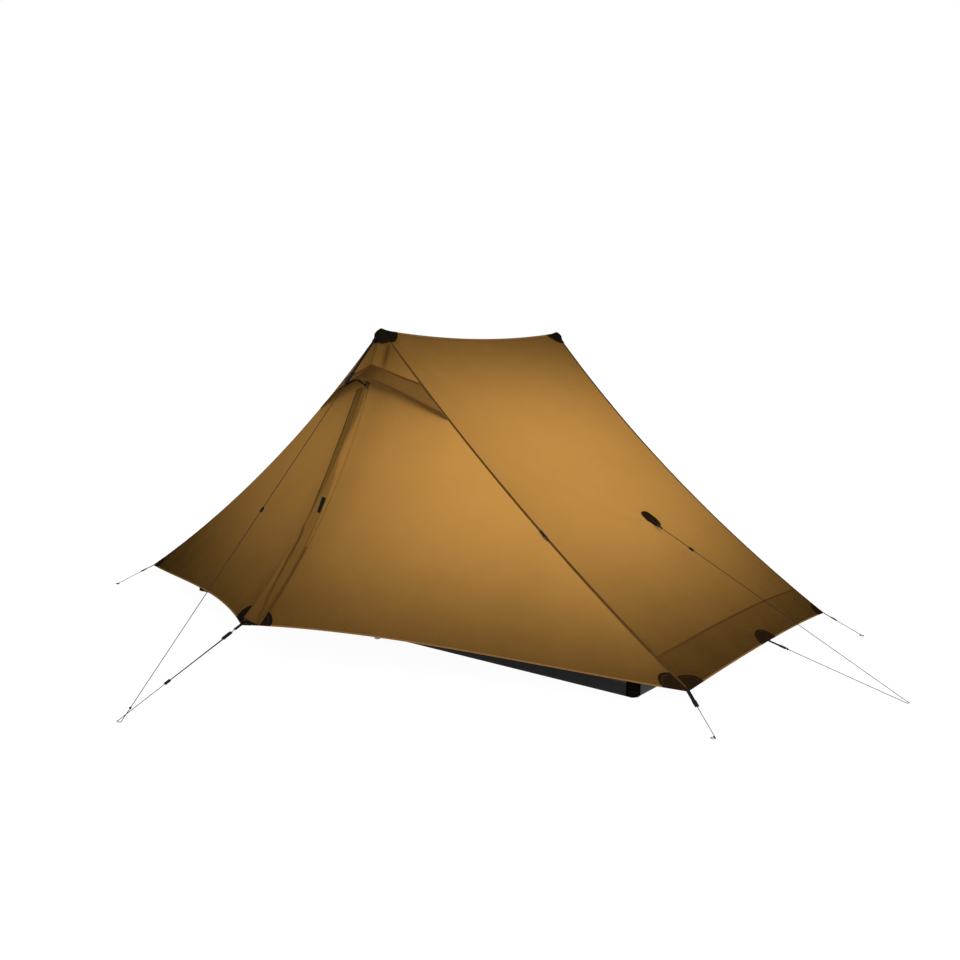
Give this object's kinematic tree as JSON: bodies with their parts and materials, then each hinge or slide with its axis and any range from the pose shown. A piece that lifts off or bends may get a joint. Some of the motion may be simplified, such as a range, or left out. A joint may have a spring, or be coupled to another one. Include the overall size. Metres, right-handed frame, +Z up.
{
  "type": "trekking pole tent",
  "caption": "Single wall tent pitched on upright trekking poles, with sloped end panels, zipped vestibule doors, propped vent hoods, tub floor, mesh inner walls and guylines.",
  "frame": {"origin": "on the ground under the middle of the ridge", "axes": "+Z up, +X towards the foot end (right in the picture), -Y towards the front door"},
  "size_m": [3.8644, 3.7764, 1.2552],
  "materials": {
    "khaki_ripstop": "coated ripstop cloth, golden khaki, slight sheen",
    "dark_reinforcement": "dark brown laminated reinforcement cloth, matt",
    "black_mesh": "fine black insect mesh",
    "black_webbing": "woven black tape and webbing",
    "grey_floor_cloth": "dark grey coated floor cloth with a black base",
    "grey_cord": "braided light grey cord",
    "black_plastic": "black moulded plastic",
    "grip_foam": "closed cell foam, black",
    "pole_alloy": "anodised grey tube"
  },
  "bodies": {
    "tent": {"foot_end_panel": "khaki_ripstop", "foot_end_seam": "dark_reinforcement", "foot_mesh_strip": "black_mesh", "foot_end_guylines": "grey_cord", "head_end_panel": "khaki_ripstop", "head_end_seam": "dark_reinforcement", "head_mesh_strip": "black_mesh", "head_end_guylines": "grey_cord", "tub_floor": "grey_floor_cloth", "front_yoke": "khaki_ripstop", "front_vent_mesh": "black_mesh", "front_vent_hood": "khaki_ripstop", "front_fixed_leaf": "khaki_ripstop", "front_zip_fixed_half": "black_webbing", "front_peak_cap": "dark_reinforcement", "front_mesh_wall": "black_mesh", "front_pole_grip": "grip_foam", "front_pole_upper_shaft": "pole_alloy", "front_pole_upper_clamp": "black_plastic", "front_guylines": "grey_cord", "front_left_corner_line": "grey_cord", "front_right_corner_line": "grey_cord", "back_yoke": "khaki_ripstop", "back_vent_mesh": "black_mesh", "back_vent_hood": "khaki_ripstop", "back_fixed_leaf": "khaki_ripstop", "back_zip_fixed_half": "black_webbing", "back_peak_cap": "dark_reinforcement", "back_mesh_wall": "black_mesh", "back_pole_grip": "grip_foam", "back_pole_upper_shaft": "pole_alloy", "back_pole_upper_clamp": "black_plastic", "back_guylines": "grey_cord", "back_left_corner_line": "grey_cord", "back_right_corner_line": "grey_cord"},
    "front_door": {"front_door_leaf": "khaki_ripstop", "front_storm_flap": "khaki_ripstop", "front_zip_door_half": "black_webbing"},
    "front_zip_slider": {"front_zip_slider": "black_plastic"},
    "front_vent_strut": {"front_vent_strut": "black_plastic"},
    "front_mesh_door": {"front_mesh_door": "black_mesh"},
    "front_pole_middle": {"front_pole_middle_shaft": "pole_alloy", "front_pole_lower_clamp": "black_plastic"},
    "front_pole_lower": {"front_pole_lower_shaft": "pole_alloy"},
    "front_upper_lever": {"front_pole_upper_lever": "black_plastic"},
    "front_lower_lever": {"front_pole_lower_lever": "black_plastic"},
    "front_peak_tensioner": {"front_peak_tensioner": "black_plastic"},
    "back_door": {"back_door_leaf": "khaki_ripstop", "back_storm_flap": "khaki_ripstop", "back_zip_door_half": "black_webbing"},
    "back_zip_slider": {"back_zip_slider": "black_plastic"},
    "back_vent_strut": {"back_vent_strut": "black_plastic"},
    "back_mesh_door": {"back_mesh_door": "black_mesh"},
    "back_pole_middle": {"back_pole_middle_shaft": "pole_alloy", "back_pole_lower_clamp": "black_plastic"},
    "back_pole_lower": {"back_pole_lower_shaft": "pole_alloy"},
    "back_upper_lever": {"back_pole_upper_lever": "black_plastic"},
    "back_lower_lever": {"back_pole_lower_lever": "black_plastic"},
    "back_peak_tensioner": {"back_peak_tensioner": "black_plastic"}
  },
  "joints": [
    {"name": "front_door_hinge", "type": "hinge", "parent": "tent", "child": "front_door", "pos_m": [1.391, -0.671, 0.097], "axis": [-0.7913, 0.0267, 0.6109], "range_deg": [0, 130]},
    {"name": "front_zip_slider_travel", "type": "hinge", "parent": "tent", "child": "front_zip_slider", "pos_m": [0, -2.75933, 1.94541], "axis": [1, 0, 0], "range_deg": [0, 24]},
    {"name": "front_vent_strut_fold", "type": "hinge", "parent": "tent", "child": "front_vent_strut", "pos_m": [0, -0.78507, 1.05881], "axis": [1, 0, 0], "range_deg": [0, 15]},
    {"name": "front_mesh_door_hinge", "type": "hinge", "parent": "tent", "child": "front_mesh_door", "pos_m": [0.99597, -0.59925, 0.181], "axis": [0.7364, 0, -0.6765], "range_deg": [0, 90]},
    {"name": "front_pole_middle_slide", "type": "slide", "parent": "tent", "child": "front_pole_middle", "axis": [0, 0, 1], "range_m": [0, 0.25]},
    {"name": "front_pole_lower_slide", "type": "slide", "parent": "front_pole_middle", "child": "front_pole_lower", "axis": [0, 0, 1], "range_m": [0, 0.25]},
    {"name": "front_upper_lever_hinge", "type": "hinge", "parent": "tent", "child": "front_upper_lever", "pos_m": [0.0149, -0.64, 0.749], "axis": [0, 0, -1], "range_deg": [0, 120]},
    {"name": "front_lower_lever_hinge", "type": "hinge", "parent": "front_pole_middle", "child": "front_lower_lever", "pos_m": [0.0139, -0.64, 0.414], "axis": [0, 0, -1], "range_deg": [0, 120]},
    {"name": "front_peak_tensioner_slide", "type": "slide", "parent": "tent", "child": "front_peak_tensioner", "axis": [-0.0046, 0.7022, 0.712], "range_m": [0, 0.25]},
    {"name": "back_door_hinge", "type": "hinge", "parent": "tent", "child": "back_door", "pos_m": [-1.391, 0.671, 0.097], "axis": [0.7913, -0.0267, 0.6109], "range_deg": [0, 130]},
    {"name": "back_zip_slider_travel", "type": "hinge", "parent": "tent", "child": "back_zip_slider", "pos_m": [0, 2.75933, 1.94541], "axis": [-1, 0, 0], "range_deg": [0, 24]},
    {"name": "back_vent_strut_fold", "type": "hinge", "parent": "tent", "child": "back_vent_strut", "pos_m": [0, 0.78507, 1.05881], "axis": [-1, 0, 0], "range_deg": [0, 15]},
    {"name": "back_mesh_door_hinge", "type": "hinge", "parent": "tent", "child": "back_mesh_door", "pos_m": [-0.99597, 0.59925, 0.181], "axis": [-0.7364, 0, -0.6765], "range_deg": [0, 90]},
    {"name": "back_pole_middle_slide", "type": "slide", "parent": "tent", "child": "back_pole_middle", "axis": [0, 0, 1], "range_m": [0, 0.25]},
    {"name": "back_pole_lower_slide", "type": "slide", "parent": "back_pole_middle", "child": "back_pole_lower", "axis": [0, 0, 1], "range_m": [0, 0.25]},
    {"name": "back_upper_lever_hinge", "type": "hinge", "parent": "tent", "child": "back_upper_lever", "pos_m": [-0.0149, 0.64, 0.749], "axis": [0, 0, -1], "range_deg": [0, 120]},
    {"name": "back_lower_lever_hinge", "type": "hinge", "parent": "back_pole_middle", "child": "back_lower_lever", "pos_m": [-0.0139, 0.64, 0.414], "axis": [0, 0, -1], "range_deg": [0, 120]},
    {"name": "back_peak_tensioner_slide", "type": "slide", "parent": "tent", "child": "back_peak_tensioner", "axis": [0.0046, -0.7022, 0.712], "range_m": [0, 0.25]}
  ]
}
